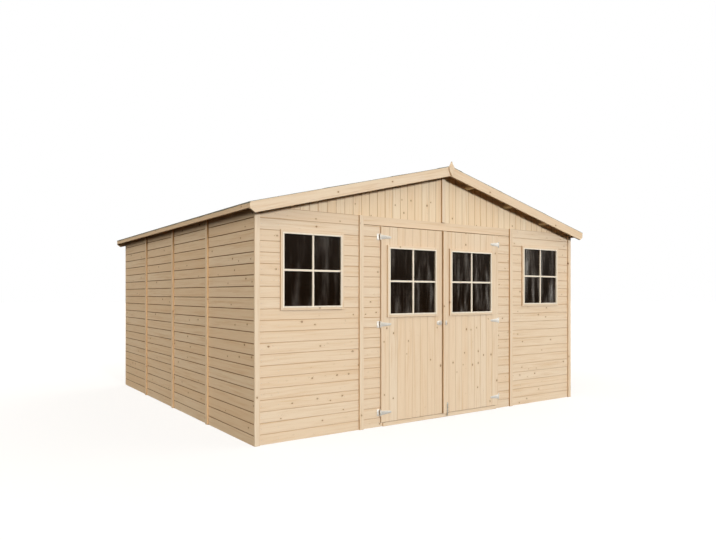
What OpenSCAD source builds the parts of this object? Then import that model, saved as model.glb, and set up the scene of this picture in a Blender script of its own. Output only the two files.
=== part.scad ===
// Garden shed of boarded wall panels with a pair of glazed doors, two front windows and a felted gable roof.
// Millimetres. X runs along the front, Y to the back and Z up. The front faces -Y.
// The origin is on the ground under the middle of the shed.

/* [Walls] */
// Width over the side walls
shed_w = 4000; // [3600:10:5000]
// Depth over the corner boards
shed_d = 4000; // [3000:10:5000]
// Height of the wall panels, up to the gables
wall_h = 1895; // [1850:5:2200]
// Thickness of the cladding
clad_t = 16; // [12:1:22]
// Panels in each side wall and in the back wall
panel_n = 4; // [3:1:5]
// Joint between neighbouring panels
panel_gap = 2; // [1:0.5:4]
// Width of the strips that cover the joints
strip_w = 44; // [36:1:60]
// Thickness of the strips and the corner boards
strip_t = 18; // [14:1:24]
// Width of the corner boards
corner_w = 45; // [36:1:70]

/* [Frame] */
// Face width of the frame battens
batten_w = 45; // [36:1:55]
// Depth of the frame battens
batten_t = 28; // [20:1:45]
// Clearance where two timbers butt
joint_gap = 0.5; // [0.2:0.1:0.9]

/* [Floor] */
// Height of the floor bearers
bearer_h = 20; // [16:1:24]
// Width of the floor bearers
bearer_w = 60; // [40:5:100]
// Number of floor bearers
bearer_n = 7; // [4:1:10]
// Thickness of the floor boards
floor_t = 16; // [12:1:20]

/* [Doors] */
// Depth of the header board over the doors
header_h = 81; // [60:1:140]
// Width of the wall between the doors and the next panel
door_side_w = 212; // [160:1:260]
// Width of the left leaf on either side of its window trim
stile_w = 62; // [50:0.5:90]
// Bottom edge of the leaves
door_bottom = 40; // [36:1:70]
// Thickness of the door boards
leaf_t = 16; // [12:1:22]
// Running clearance around the leaves
leaf_gap = 5; // [5:0.5:8]
// Lap of the lintel behind the top of the leaves
lintel_lap = 15; // [8:1:25]
// Lap of the leaves over the wall beside the doorway
leaf_lap = 25; // [15:1:40]
// Width of the ledges behind the leaves
ledge_w = 90; // [60:1:94]
// Thickness of the ledges
ledge_t = 20; // [14:1:20]
// Clearance between the ledges and the sides of the doorway
ledge_inset = 12; // [8:1:25]
// Width of the diagonal brace, along the ledge
brace_w = 110; // [70:1:140]

/* [Windows] */
// Clear width inside the trim
win_w = 553; // [450:1:580]
// Clear height inside the trim
win_h = 597; // [450:1:650]
// Height of the wall over the trim of the wall windows
wall_win_top = 171.5; // [120:0.5:300]
// Shift of the wall windows from the middle of their panel towards the doors
wall_win_shift = 12; // [0:1:20]
// Height of a leaf over its window trim
door_win_top = 164.5; // [110:0.5:250]
// Width of the window trim
trim_w = 30; // [24:1:45]
// Thickness of the window trim
trim_t = 14; // [10:1:24]
// Thickness of the panes
pane_t = 4; // [3:0.5:6]
// Lap of the trim over the edge of a pane
pane_lap = 10; // [6:1:15]

/* [Hinges] */
// Distance of the bottom hinges from the bottom edge of the leaves
hinge_rise = 87; // [60:1:160]
// Distance of the middle hinges from the window trim over them
hinge_drop = 62.5; // [45:0.5:120]
// Distance of the top hinges from the top edge of the leaves
hinge_top = 94; // [50:1:110]
// Sheet thickness of the hinges
hinge_t = 3; // [2:0.5:4]
// Width of the plate on the wall
plate_w = 28; // [20:1:40]
// Height of the plate on the wall
plate_h = 58; // [52:1:70]
// Outer diameter of the knuckles
knuckle_d = 12; // [10:0.5:16]
// Height of each knuckle on the plate
knuckle_h = 7; // [5:1:12]
// Diameter of the hinge pin
pin_d = 6; // [4:0.5:8]
// Radial clearance around the hinge pin
pin_fit = 0.05; // [0.02:0.01:0.1]
// Clearance between the knuckles and the edge of the leaf
knuckle_gap = 2; // [1:0.5:3]
// Length of the strap from the pin
strap_l = 112; // [90:1:180]
// Width of the strap at its tip
strap_tip = 20; // [14:1:26]

/* [Door fittings] */
// Distance of the lock from the window trim over it
lock_drop = 67.5; // [40:0.5:120]
// Length of the lock plate
lock_l = 66; // [52:1:80]
// Height of the lock plate
lock_h = 44; // [36:1:50]
// Thickness of the plates of the lock, keeper and bolt
plate_t = 4; // [2:0.5:5]
// Diameter of the lock barrel
barrel_d = 26; // [20:1:32]
// Height of the lock barrel over its plate
barrel_h = 14; // [8:1:20]
// Width of the slot in the lock barrel
slot_w = 3; // [2:0.5:5]
// Length of the slot in the lock barrel
slot_l = 16; // [10:1:18]
// Width of the keeper plate
keeper_w = 20; // [14:1:30]
// Diameter of the keeper's stud
stud_d = 8; // [6:1:12]
// Length of the bolt plate
bolt_l = 90; // [60:5:140]
// Width of the bolt plate
bolt_w = 26; // [20:1:32]
// Diameter of the bolt rod
rod_d = 10; // [8:1:12]
// Diameter of the bolt's knob
knob_d = 8; // [5:1:9]
// Clearance between the rod and the bolt plate
rod_off = 1; // [0.5:0.5:3]
// Height of the rod's foot over the ground
rod_foot = 12; // [6:1:20]

/* [Roof] */
// Pitch of the roof in degrees
pitch = 14; // [10:0.1:20]
// Height of the roof seat over the wall panels at the side walls
seat_rise = 14; // [4:1:30]
// Clearance between the sloping layers of the roof
roof_gap = 0.3; // [0.2:0.1:0.6]
// Thickness of the roof boards
deck_t = 16; // [12:1:22]
// Thickness of the roofing felt
felt_t = 3; // [2:0.5:5]
// Overhang at the eaves
eave_out = 82; // [60:1:150]
// Overhang of the roof boards at the gables
verge_out = 80; // [60:1:150]
// Lip of the felt past the eave boards
felt_lip = 2; // [0:0.5:6]
// Width of the felt over the ridge, each side
ridge_felt_w = 150; // [100:5:250]
// Width of the purlins
purlin_w = 45; // [36:1:60]
// Depth of the purlins
purlin_h = 75; // [45:1:90]
// Distance of the first purlins from the ridge
purlin_first = 335; // [250:5:400]
// Distance from purlin to purlin
purlin_step = 570; // [450:5:600]
// Purlins on each slope, besides the ridge beam
purlin_n = 3; // [2:1:3]
// Width of the ridge beam
ridge_w = 45; // [36:1:60]
// Depth of the ridge beam
ridge_h = 70; // [55:1:90]
// Width of the bargeboards
barge_w = 88; // [75:1:120]
// Thickness of the bargeboards
barge_t = 20; // [16:1:28]
// Width of the clipped lower corner of a bargeboard
clip_w = 41; // [20:1:50]
// Height of the clipped lower corner of a bargeboard
clip_h = 38; // [20:1:50]
// Height of the eave boards
eave_h = 45; // [35:1:70]
// Thickness of the eave boards
eave_t = 18; // [14:1:28]
// Width of the finials over the bargeboard joint
finial_w = 70; // [40:1:80]
// Thickness of the finials
finial_t = 18; // [14:1:24]
// Height of the finial's tip over the ridge
finial_tip = 41; // [30:1:90]
// Height of the finial's widest place over the foot of the bargeboard joint
finial_waist = 80; // [40:1:85]

/* [Hidden] */

$fn = 48;
PINE = "#E9CFA8";
PALE_PINE = "#F1DCBC";
FRAME_PINE = "#D8BC92";
FELT = "#6A6C62";
ZINC = "#D5D2CB";
GLASS = [0.12, 0.13, 0.13, 0.6];

// Planes of the walls, as distances from the middle of the shed
side_x = shed_w / 2;
side_in_x = side_x - clad_t;
frame_in_x = side_in_x - batten_t;
trim_y = shed_d / 2;
face_y = trim_y - strip_t;
face_in_y = face_y - clad_t;
frame_in_y = face_in_y - batten_t;

// Heights of the frame
rail_z = wall_h - batten_w;
head_z = wall_h - header_h;
door_top = head_z - leaf_gap;
threshold_h = door_bottom - leaf_gap;

// Doorway and leaves. The leaves meet at the left edge of the cover strip, which is in the middle
meet_right = -strip_w / 2;
meet_left = meet_right - leaf_gap;
doors_x = win_w + 2 * (trim_w + stile_w) - meet_left;
joint_x = doors_x + door_side_w;
doorway_x = doors_x - leaf_lap;
leaf_back_y = face_y + leaf_gap;
leaf_y = leaf_back_y + leaf_t;
left_leaf = [-doors_x, meet_left];
right_leaf = [meet_right, doors_x];
function middle(edges) = (edges[0] + edges[1]) / 2;

// Windows
pane_w = win_w + 2 * pane_lap;
pane_h = win_h + 2 * pane_lap;
hole_w = pane_w + 2 * joint_gap;
hole_h = pane_h + 2 * joint_gap;
wall_win_x = (joint_x + strip_w / 2 + side_x - corner_w) / 2 - wall_win_shift;
wall_win_z = wall_h - wall_win_top - trim_w - win_h / 2;
door_win_z = door_top - door_win_top - trim_w - win_h / 2;
door_win_foot = door_win_z - win_h / 2 - trim_w;

// Hinges turn on pins just outside the leaves
hinge_low_z = door_bottom + hinge_rise;
hinge_mid_z = door_win_foot - hinge_drop;
hinge_heights = [hinge_low_z, hinge_mid_z, door_top - hinge_top];
lock_z = door_win_foot - lock_drop;
pin_x = doors_x + knuckle_d / 2 + knuckle_gap;
pin_y = leaf_y + hinge_t / 2;
pin_to_wall = pin_y - face_y;
strap_h = plate_h - 2 * knuckle_h - 2 * joint_gap;

// Roof planes
slope = tan(pitch);
deck_v = deck_t / cos(pitch);
felt_v = felt_t / cos(pitch);
barge_v = barge_w / cos(pitch);
eave_x = side_x + eave_out;
deck_x = eave_x - eave_t;
felt_x = eave_x + felt_lip;
deck_y = trim_y + verge_out;
barge_y = deck_y + barge_t;
function seat_z(x) = wall_h + seat_rise + (side_x - abs(x)) * slope;
function under_z(x) = seat_z(x) + roof_gap;
function deck_z(x) = under_z(x) + deck_v;
function felt_foot_z(x) = deck_z(x) + roof_gap;
function felt_z(x) = felt_foot_z(x) + felt_v;
function cap_foot_z(x) = felt_z(x) + roof_gap;
function cap_z(x) = cap_foot_z(x) + felt_v;
function barge_z(x) = deck_z(x) - barge_v;
ridge_foot_z = seat_z(0) - ridge_h;

// Ends of wall panel i of a wall that reaches half each way, less the joint to its neighbours
function panel_start(i, half) = -half + i * 2 * half / panel_n + (i > 0 ? panel_gap / 2 : 0);
function panel_end(i, half) = -half + (i + 1) * 2 * half / panel_n - (i < panel_n - 1 ? panel_gap / 2 : 0);
function panel_joint(i, half) = -half + i * 2 * half / panel_n;

// Where the studs of panel i start: at both ends and in the middle, inside the limits of the frame
function stud_starts(i, half, limit) =
    let (first = max(panel_start(i, half), -limit), last = min(panel_end(i, half), limit) - batten_w)
    [first, (first + last) / 2, last];

// Outline of a purlin whose top lies under the roof boards at x, grown by g for its notch
function purlin_outline(x, g) =
    let (along = [cos(pitch), -sin(pitch)], up = [sin(pitch), cos(pitch)], top = [x, seat_z(x)],
         side = along * (purlin_w / 2 + g))
    [top - side + up * g, top + side + up * g,
     top + side - up * (purlin_h + g), top - side - up * (purlin_h + g)];
function purlin_x(i) = purlin_first + i * purlin_step;

// Outline of the ridge beam, grown by g for its notch
function ridge_outline(g) =
    let (half = ridge_w / 2 + g, foot = ridge_foot_z - g)
    [[-half, foot], [half, foot], [half, seat_z(half) + g], [0, seat_z(0) + g], [-half, seat_z(half) + g]];

// Half of a finial: slender and hollow above its widest place, full and round below it
function finial_half(foot, waist, tip, side) =
    let (steps = 8, hollow = 1.4, full = 1.8, reach = side * finial_w / 2)
    concat([for (i = [0:steps - 1])
               [reach * (1 - pow(1 - i / steps, full)), foot + (waist - foot) * i / steps]],
           [for (i = [0:steps - 1]) [reach * pow(1 - i / steps, hollow), waist + (tip - waist) * i / steps]],
           [[0, tip]]);

// Box from its two corners along each axis
module block(x, y, z) {
    translate([x[0], y[0], z[0]])
        cube([x[1] - x[0], y[1] - y[0], z[1] - z[0]]);
}

// Outline in X and Z drawn out along Y
module along_y(outline, y) {
    translate([0, y[1], 0])
        rotate([90, 0, 0])
            linear_extrude(y[1] - y[0])
                polygon(outline);
}

// The same thing on the left and on the right
module both_sides() {
    children();
    mirror([1, 0, 0])
        children();
}

// The same thing at the front and at the back
module both_ends() {
    children();
    mirror([0, 1, 0])
        children();
}

// Hole for a pane in a wall or a leaf
module pane_hole(x, z, y) {
    block([x - hole_w / 2, x + hole_w / 2], y, [z - hole_h / 2, z + hole_h / 2]);
}

// Pane that stands in its hole, behind the trim on plane y
module pane(x, z, y) {
    block([x - pane_w / 2, x + pane_w / 2], [y, y + pane_t], [z - pane_h / 2, z + pane_h / 2]);
}

// Two upright trim boards and two level ones between them, on plane y
module window_trim(x, z, y) {
    depth = [y - trim_t, y];
    for (side = [-1, 1]) {
        stile = x + side * (win_w + trim_w) / 2;
        rail = z + side * (win_h + trim_w) / 2;
        block([stile - trim_w / 2, stile + trim_w / 2], depth,
              [z - win_h / 2 - trim_w, z + win_h / 2 + trim_w]);
        block([x - win_w / 2 + joint_gap, x + win_w / 2 - joint_gap], depth,
              [rail - trim_w / 2, rail + trim_w / 2]);
    }
}

// Upright batten of the wall frame
module stud(x, y) {
    block(x, y, [batten_w, rail_z]);
}

module floor_bearers() {
    span = frame_in_y - joint_gap - bearer_w / 2;
    color(FRAME_PINE)
        for (i = [0:bearer_n - 1]) {
            y = -span + i * 2 * span / (bearer_n - 1);
            block([-frame_in_x + joint_gap, frame_in_x - joint_gap],
                  [y - bearer_w / 2, y + bearer_w / 2], [0, bearer_h]);
        }
}

module floor_boards() {
    color(PINE)
        block([-frame_in_x + joint_gap, frame_in_x - joint_gap],
              [-frame_in_y + joint_gap, frame_in_y - joint_gap], [bearer_h, bearer_h + floor_t]);
}

module door_threshold() {
    color(PINE)
        block([-doorway_x + joint_gap, doorway_x - joint_gap], [-trim_y, -frame_in_y], [0, threshold_h]);
}

// Side cladding with its top bevelled to the roof
module side_panels() {
    outline = [[side_in_x, 0], [side_x, 0], [side_x, seat_z(side_x)], [side_in_x, seat_z(side_in_x)]];
    for (i = [0:panel_n - 1])
        along_y(outline, [panel_start(i, face_y), panel_end(i, face_y)]);
}

module left_wall_panels() {
    color(PINE)
        mirror([1, 0, 0])
            side_panels();
}

module right_wall_panels() {
    color(PINE)
        side_panels();
}

module back_wall_panels() {
    color(PINE)
        for (i = [0:panel_n - 1])
            block([panel_start(i, side_in_x), panel_end(i, side_in_x)], [face_in_y, face_y], [0, wall_h]);
}

// Front panel with its window hole, on the right
module front_window_panel() {
    difference() {
        block([joint_x + panel_gap / 2, side_in_x], [-face_y, -face_in_y], [0, wall_h]);
        pane_hole(wall_win_x, wall_win_z, [-face_y - 1, -face_in_y + 1]);
    }
}

module front_left_panel() {
    color(PINE)
        mirror([1, 0, 0])
            front_window_panel();
}

module front_right_panel() {
    color(PINE)
        front_window_panel();
}

module door_side_panels() {
    color(PINE)
        both_sides()
            block([doorway_x, joint_x - panel_gap / 2], [-face_y, -face_in_y], [0, head_z]);
}

module door_header() {
    color(PINE)
        block([-joint_x + panel_gap / 2, joint_x - panel_gap / 2], [-face_y, -face_in_y], [head_z, wall_h]);
}

// Two gable halves at the front, notched for the purlins and the ridge beam
module gable() {
    half = [[panel_gap / 2, wall_h], [side_in_x, wall_h],
            [side_in_x, seat_z(side_in_x)], [panel_gap / 2, seat_z(panel_gap / 2)]];
    depth = [-face_y, -face_in_y];
    cut = [-face_y - 1, -face_in_y + 1];
    both_sides()
        difference() {
            along_y(half, depth);
            along_y(ridge_outline(joint_gap), cut);
            for (i = [0:purlin_n - 1])
                along_y(purlin_outline(purlin_x(i), joint_gap), cut);
        }
}

module front_gable() {
    color(PINE)
        gable();
}

module back_gable() {
    color(PINE)
        mirror([0, 1, 0])
            gable();
}

module corner_boards() {
    color(PALE_PINE)
        both_ends()
            both_sides()
                block([side_x - corner_w, side_x], [-trim_y, -face_y], [0, wall_h]);
}

// Strips over the panel joints of the front, back and side walls
module wall_cover_strips() {
    half = strip_w / 2;
    color(PALE_PINE) {
        both_sides()
            block([joint_x - half, joint_x + half], [-trim_y, -face_y], [0, wall_h]);
        for (i = [1:panel_n - 1]) {
            x = panel_joint(i, side_in_x);
            y = panel_joint(i, face_y);
            block([x - half, x + half], [face_y, trim_y], [0, wall_h]);
            both_sides()
                block([side_x, side_x + strip_t], [y - half, y + half], [0, wall_h]);
        }
    }
}

module gable_cover_strips() {
    color(PALE_PINE)
        both_ends()
            block([-strip_w / 2, strip_w / 2], [-trim_y, -face_y], [wall_h, ridge_foot_z - joint_gap]);
}

// Studs of the panels, the window trimmers and the door posts
module wall_studs() {
    front_depth = [-face_in_y, -frame_in_y];
    color(FRAME_PINE) {
        for (i = [0:panel_n - 1]) {
            both_sides()
                for (y = stud_starts(i, face_y, face_in_y))
                    stud([frame_in_x, side_in_x], [y, y + batten_w]);
            for (x = stud_starts(i, side_in_x, frame_in_x - joint_gap))
                stud([x, x + batten_w], [frame_in_y, face_in_y]);
        }
        both_sides()
            for (x = [frame_in_x - joint_gap - batten_w, joint_x + panel_gap / 2,
                      wall_win_x + hole_w / 2, wall_win_x - hole_w / 2 - batten_w,
                      joint_x - panel_gap / 2 - batten_w, doorway_x])
                stud([x, x + batten_w], front_depth);
    }
}

// Bottom and top rails of all four walls
module wall_rails() {
    seat = [[frame_in_x, rail_z], [side_in_x, rail_z],
            [side_in_x, seat_z(side_in_x)], [frame_in_x, seat_z(frame_in_x)]];
    reach = frame_in_x - joint_gap;
    color(FRAME_PINE) {
        both_sides() {
            block([frame_in_x, side_in_x], [-face_in_y, face_in_y], [0, batten_w]);
            along_y(seat, [-face_in_y, face_in_y]);
            block([doorway_x, reach], [-face_in_y, -frame_in_y], [0, batten_w]);
        }
        block([-reach, reach], [frame_in_y, face_in_y], [0, batten_w]);
        both_ends()
            block([-reach, reach], [-face_in_y, -frame_in_y], [rail_z, wall_h]);
    }
}

// Lintel over the doorway, and the battens over and under the wall windows
module lintels_and_sills() {
    depth = [-face_in_y, -frame_in_y];
    half = hole_w / 2 - joint_gap;
    color(FRAME_PINE) {
        block([-doorway_x + joint_gap, doorway_x - joint_gap], depth,
              [head_z - lintel_lap, rail_z - joint_gap]);
        both_sides()
            for (z = [wall_win_z - hole_h / 2 - batten_w, wall_win_z + hole_h / 2])
                block([wall_win_x - half, wall_win_x + half], depth, [z, z + batten_w]);
    }
}

// Purlins square to the slopes, and the ridge beam between them
module roof_purlins() {
    reach = [-deck_y, deck_y];
    color(FRAME_PINE) {
        both_sides()
            for (i = [0:purlin_n - 1])
                along_y(purlin_outline(purlin_x(i), 0), reach);
        along_y(ridge_outline(0), reach);
    }
}

module roof_deck() {
    outline = [[0, under_z(0)], [deck_x, under_z(deck_x)], [deck_x, deck_z(deck_x)], [0, deck_z(0)]];
    along_y(outline, [-deck_y, deck_y]);
}

module left_roof_deck() {
    color(PINE)
        mirror([1, 0, 0])
            roof_deck();
}

module right_roof_deck() {
    color(PINE)
        roof_deck();
}

module roof_felt() {
    outline = [[0, felt_foot_z(0)], [felt_x, felt_foot_z(felt_x)], [felt_x, felt_z(felt_x)], [0, felt_z(0)]];
    along_y(outline, [-barge_y, barge_y]);
}

module left_roof_felt() {
    color(FELT)
        mirror([1, 0, 0])
            roof_felt();
}

module right_roof_felt() {
    color(FELT)
        roof_felt();
}

module ridge_felt() {
    w = ridge_felt_w;
    outline = [[-w, cap_foot_z(w)], [0, cap_foot_z(0)], [w, cap_foot_z(w)],
               [w, cap_z(w)], [0, cap_z(0)], [-w, cap_z(w)]];
    color(FELT)
        along_y(outline, [-barge_y, barge_y]);
}

// Bargeboards with a plumb joint at the apex and a clipped corner at the eaves
module bargeboards() {
    start = joint_gap / 2;
    clip_x = eave_x - clip_w;
    outline = [[start, deck_z(start)], [start, barge_z(start)], [clip_x, barge_z(clip_x)],
               [eave_x, barge_z(eave_x) + clip_h], [eave_x, deck_z(eave_x)]];
    color(PALE_PINE)
        both_ends()
            both_sides()
                along_y(outline, [-barge_y, -deck_y]);
}

module eave_boards() {
    foot = deck_z(eave_x) - eave_h;
    outline = [[deck_x, foot], [eave_x, foot], [eave_x, deck_z(eave_x)], [deck_x, deck_z(deck_x)]];
    color(PALE_PINE)
        both_sides()
            along_y(outline, [-deck_y, deck_y]);
}

module finials() {
    foot = barge_z(0);
    waist = foot + finial_waist;
    tip = cap_z(0) + finial_tip;
    color(PALE_PINE)
        both_ends()
            union()
                for (side = [-1, 1])
                    along_y(finial_half(foot, waist, tip, side), [-barge_y - finial_t, -barge_y]);
}

module window_trims() {
    color(PALE_PINE)
        both_sides()
            window_trim(wall_win_x, wall_win_z, -face_y);
}

module window_panes() {
    color(GLASS)
        both_sides()
            pane(wall_win_x, wall_win_z, -face_y);
}

// Cranked plate with two knuckles and the pin. The pin stands on the Z axis, the leaf lies on the +X side
module hinge_plate() {
    half_t = hinge_t / 2;
    block([half_t - plate_w, half_t], [pin_to_wall - hinge_t, pin_to_wall], [-plate_h / 2, plate_h / 2]);
    cylinder(d = pin_d, h = plate_h, center = true);
    for (z = [-plate_h / 2, plate_h / 2 - knuckle_h]) {
        block([-half_t, half_t], [0, pin_to_wall], [z, z + knuckle_h]);
        translate([0, 0, z])
            cylinder(d = knuckle_d, h = knuckle_h);
    }
}

// Tapered strap with a knuckle that turns on the pin
module hinge_strap() {
    outline = [[0, -strap_h / 2], [strap_l, -strap_tip / 2], [strap_l, strap_tip / 2], [0, strap_h / 2]];
    difference() {
        union() {
            along_y(outline, [-hinge_t / 2, hinge_t / 2]);
            translate([strap_l, 0, 0])
                rotate([90, 0, 0])
                    cylinder(d = strap_tip, h = hinge_t, center = true);
            cylinder(d = knuckle_d, h = strap_h, center = true);
        }
        cylinder(d = pin_d + 2 * pin_fit, h = plate_h, center = true);
    }
}

// The three hinges of the left leaf
module at_hinges() {
    for (z = hinge_heights)
        translate([-pin_x, -pin_y, z])
            children();
}

module hinge_plates() {
    color(ZINC)
        both_sides()
            at_hinges()
                hinge_plate();
}

// Boards of a leaf between two edges, with the hole for its pane
module leaf(edges, win_x) {
    difference() {
        block(edges, [-leaf_y, -leaf_back_y], [door_bottom, door_top]);
        pane_hole(win_x, door_win_z, [-leaf_y - 1, -leaf_back_y + 1]);
    }
}

// Ledges behind the hinges and a brace that rises from the hinge side at x_hinge to x_free
module ledges(x_hinge, x_free) {
    depth = [-leaf_back_y, -leaf_back_y + ledge_t];
    side = sign(x_free - x_hinge);
    foot = hinge_low_z + ledge_w / 2 + joint_gap;
    top = hinge_mid_z - ledge_w / 2 - joint_gap;
    for (z = hinge_heights)
        block([min(x_hinge, x_free), max(x_hinge, x_free)], depth, [z - ledge_w / 2, z + ledge_w / 2]);
    along_y([[x_hinge, foot], [x_hinge + side * brace_w, foot],
             [x_free, top], [x_free - side * brace_w, top]], depth);
}

module left_door_leaf() {
    color(PINE)
        leaf(left_leaf, middle(left_leaf));
}

module left_door_ledges() {
    color(FRAME_PINE)
        ledges(ledge_inset - doorway_x, meet_left - ledge_inset);
}

module left_door_trim() {
    color(PALE_PINE)
        window_trim(middle(left_leaf), door_win_z, -leaf_y);
}

module left_door_pane() {
    color(GLASS)
        pane(middle(left_leaf), door_win_z, -leaf_y);
}

module left_door_hinges() {
    color(ZINC)
        at_hinges()
            hinge_strap();
}

// Round-ended lock plate with a slotted barrel, beside the meeting line
module left_door_lock() {
    run = (lock_l - lock_h) / 2;
    color(ZINC)
        translate([meet_left - joint_gap - lock_l / 2, -leaf_y, lock_z])
            rotate([90, 0, 0])
                difference() {
                    union() {
                        for (side = [-1, 1])
                            translate([side * run, 0, 0])
                                cylinder(d = lock_h, h = plate_t);
                        translate([-run, -lock_h / 2, 0])
                            cube([2 * run, lock_h, plate_t]);
                        cylinder(d = barrel_d, h = plate_t + barrel_h);
                    }
                    translate([-slot_l / 2, -slot_w / 2, plate_t])
                        cube([slot_l, slot_w, barrel_h + 1]);
                }
}

module right_door_leaf() {
    color(PINE)
        leaf(right_leaf, middle(right_leaf));
}

module right_door_ledges() {
    color(FRAME_PINE)
        ledges(doorway_x - ledge_inset, meet_right + ledge_inset);
}

module right_door_trim() {
    color(PALE_PINE)
        window_trim(middle(right_leaf), door_win_z, -leaf_y);
}

module right_door_pane() {
    color(GLASS)
        pane(middle(right_leaf), door_win_z, -leaf_y);
}

module right_door_hinges() {
    color(ZINC)
        mirror([1, 0, 0])
            at_hinges()
                hinge_strap();
}

// Strip along the free edge of the right leaf
module right_door_strip() {
    color(PALE_PINE)
        block([-strip_w / 2, strip_w / 2], [-leaf_y - strip_t, -leaf_y], [door_bottom, door_top]);
}

// Keeper plate with its stud, on the strip
module right_door_keeper() {
    half = keeper_w / 2;
    color(ZINC)
        translate([half, -leaf_y - strip_t, lock_z])
            rotate([90, 0, 0]) {
                translate([-half, -lock_h / 2, 0])
                    cube([keeper_w, lock_h, plate_t]);
                cylinder(d = stud_d, h = plate_t + stud_d);
            }
}

// Bolt at the foot of the right leaf: plate, two guides, rod and knob
module right_door_bolt() {
    x = strip_w / 2 + joint_gap + bolt_w / 2;
    foot = door_bottom + rod_d;
    rod_y = -leaf_y - plate_t - rod_off - rod_d / 2;
    guide = rod_d + 2 * plate_t;
    color(ZINC) {
        block([x - bolt_w / 2, x + bolt_w / 2], [-leaf_y - plate_t, -leaf_y], [foot, foot + bolt_l]);
        for (z = [foot + rod_d, foot + bolt_l - 2 * rod_d])
            block([x - guide / 2, x + guide / 2], [rod_y - guide / 2, -leaf_y - plate_t], [z, z + rod_d]);
        translate([x, rod_y, rod_foot])
            cylinder(d = rod_d, h = foot + bolt_l - rod_foot);
        translate([x, rod_y, foot + bolt_l / 2])
            rotate([90, 0, 0])
                cylinder(d = knob_d, h = guide);
    }
}

floor_bearers();
floor_boards();
door_threshold();
left_wall_panels();
right_wall_panels();
back_wall_panels();
front_left_panel();
front_right_panel();
door_side_panels();
door_header();
front_gable();
back_gable();
corner_boards();
wall_cover_strips();
gable_cover_strips();
wall_studs();
wall_rails();
lintels_and_sills();
roof_purlins();
left_roof_deck();
right_roof_deck();
left_roof_felt();
right_roof_felt();
ridge_felt();
bargeboards();
eave_boards();
finials();
window_trims();
window_panes();
hinge_plates();
left_door_leaf();
left_door_ledges();
left_door_trim();
left_door_pane();
left_door_hinges();
left_door_lock();
right_door_leaf();
right_door_ledges();
right_door_trim();
right_door_pane();
right_door_hinges();
right_door_strip();
right_door_keeper();
right_door_bolt();
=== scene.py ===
"""Looks of a garden shed of pale pine panels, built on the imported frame.

Boards are grooved out of the frame's slabs, single timbers get eased edges and a grain of their own, and the
windows, the felt and the fixings get the small pieces that the frame leaves out. All sizes are in metres.
"""

import logging
import math
from collections.abc import Sequence
from dataclasses import dataclass
from enum import Enum
from typing import Any

import bmesh
import bpy
from bmesh.types import BMesh, BMVert
from bpy.types import ID, Material, Mesh, Node, NodeSocket, NodeTree, Object, World
from mathutils import Matrix, Vector, noise


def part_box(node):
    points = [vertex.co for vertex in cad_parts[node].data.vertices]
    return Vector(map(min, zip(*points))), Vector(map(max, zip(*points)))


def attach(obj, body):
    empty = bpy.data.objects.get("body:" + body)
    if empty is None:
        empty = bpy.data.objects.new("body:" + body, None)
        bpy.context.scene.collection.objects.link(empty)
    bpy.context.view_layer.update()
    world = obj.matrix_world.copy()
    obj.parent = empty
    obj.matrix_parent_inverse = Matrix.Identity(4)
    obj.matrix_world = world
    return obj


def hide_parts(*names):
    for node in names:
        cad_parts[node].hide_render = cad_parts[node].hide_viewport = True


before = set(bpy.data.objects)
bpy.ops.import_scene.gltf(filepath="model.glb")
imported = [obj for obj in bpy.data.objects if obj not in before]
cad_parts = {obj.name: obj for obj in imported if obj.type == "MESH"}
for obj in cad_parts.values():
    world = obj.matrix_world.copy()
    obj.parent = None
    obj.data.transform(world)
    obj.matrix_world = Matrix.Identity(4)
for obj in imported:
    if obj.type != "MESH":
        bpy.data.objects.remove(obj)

LOG = logging.getLogger("shed")
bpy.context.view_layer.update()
BOARD, GABLE_BOARD, DECK_BOARD, FLOOR_BOARD = 0.0907, 0.088, 0.092, 0.12
ROWS = 21
FIRST_JOINT = 0.081
HEADER_FOOT = 1.814
HINGES = (0.127, 0.925, 1.715)
SIDE_X, FRONT_Y, LEAF_Y = 2.0, -1.982, -2.003
ROOF_PITCH = math.radians(14)
X, Y, Z = Vector((1, 0, 0)), Vector((0, 1, 0)), Vector((0, 0, 1))
Spot = tuple[Vector, Vector]
MATH, VECTOR, RANGE = "ShaderNodeMath", "ShaderNodeVectorMath", "ShaderNodeMapRange"
MIX, NOISE = "ShaderNodeMix", "ShaderNodeTexNoise"
RGBA, SMOOTH = {"data_type": "RGBA"}, {"interpolation_type": "SMOOTHSTEP"}


def linear(colour: str) -> tuple[float, float, float, float]:
    """Turn an sRGB hex colour into linear light.

    Args:
        colour: Six hex digits.

    Returns:
        Linear red, green, blue and an alpha of one.
    """
    parts = [int(colour[i:i + 2], 16) / 255 for i in (0, 2, 4)]
    red, green, blue = [p / 12.92 if p <= 0.04045 else ((p + 0.055) / 1.055) ** 2.4 for p in parts]
    return red, green, blue, 1.0


def add(tree: NodeTree, kind: str, settings: dict[str, Any] | str | None = None,
        inputs: dict[str | int, Any] | None = None) -> Node:
    """Add a node with its settings, and fill its inputs with values or links.

    Args:
        tree: The tree that gets the node.
        kind: Blender's name of the node type.
        settings: Properties of the node, or the name of its operation.
        inputs: Input name or index to a value, a node that feeds it, an output socket, or a list of these.

    Returns:
        The new node.
    """
    node = tree.nodes.new(kind)
    if isinstance(settings, str):
        settings = {"operation": settings}
    for name, value in (settings or {}).items():
        setattr(node, name, value)
    for key, value in (inputs or {}).items():
        for source in value if isinstance(value, list) else [value]:
            if isinstance(source, Node):
                source = source.outputs[0]
            if isinstance(source, NodeSocket):
                tree.links.new(source, node.inputs[key])
            else:
                node.inputs[key].default_value = source
    return node


def blank(owner: Material | World) -> NodeTree:
    """Return the emptied node tree of a new material or world."""
    owner.use_nodes = True
    owner.node_tree.nodes.clear()
    return owner.node_tree


def coat(tree: NodeTree, looks: dict[str, Any]) -> None:
    """End a material's tree in one surface with these looks."""
    shader = add(tree, "ShaderNodeBsdfPrincipled", inputs=looks)
    add(tree, "ShaderNodeOutputMaterial", inputs={"Surface": shader})


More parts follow.
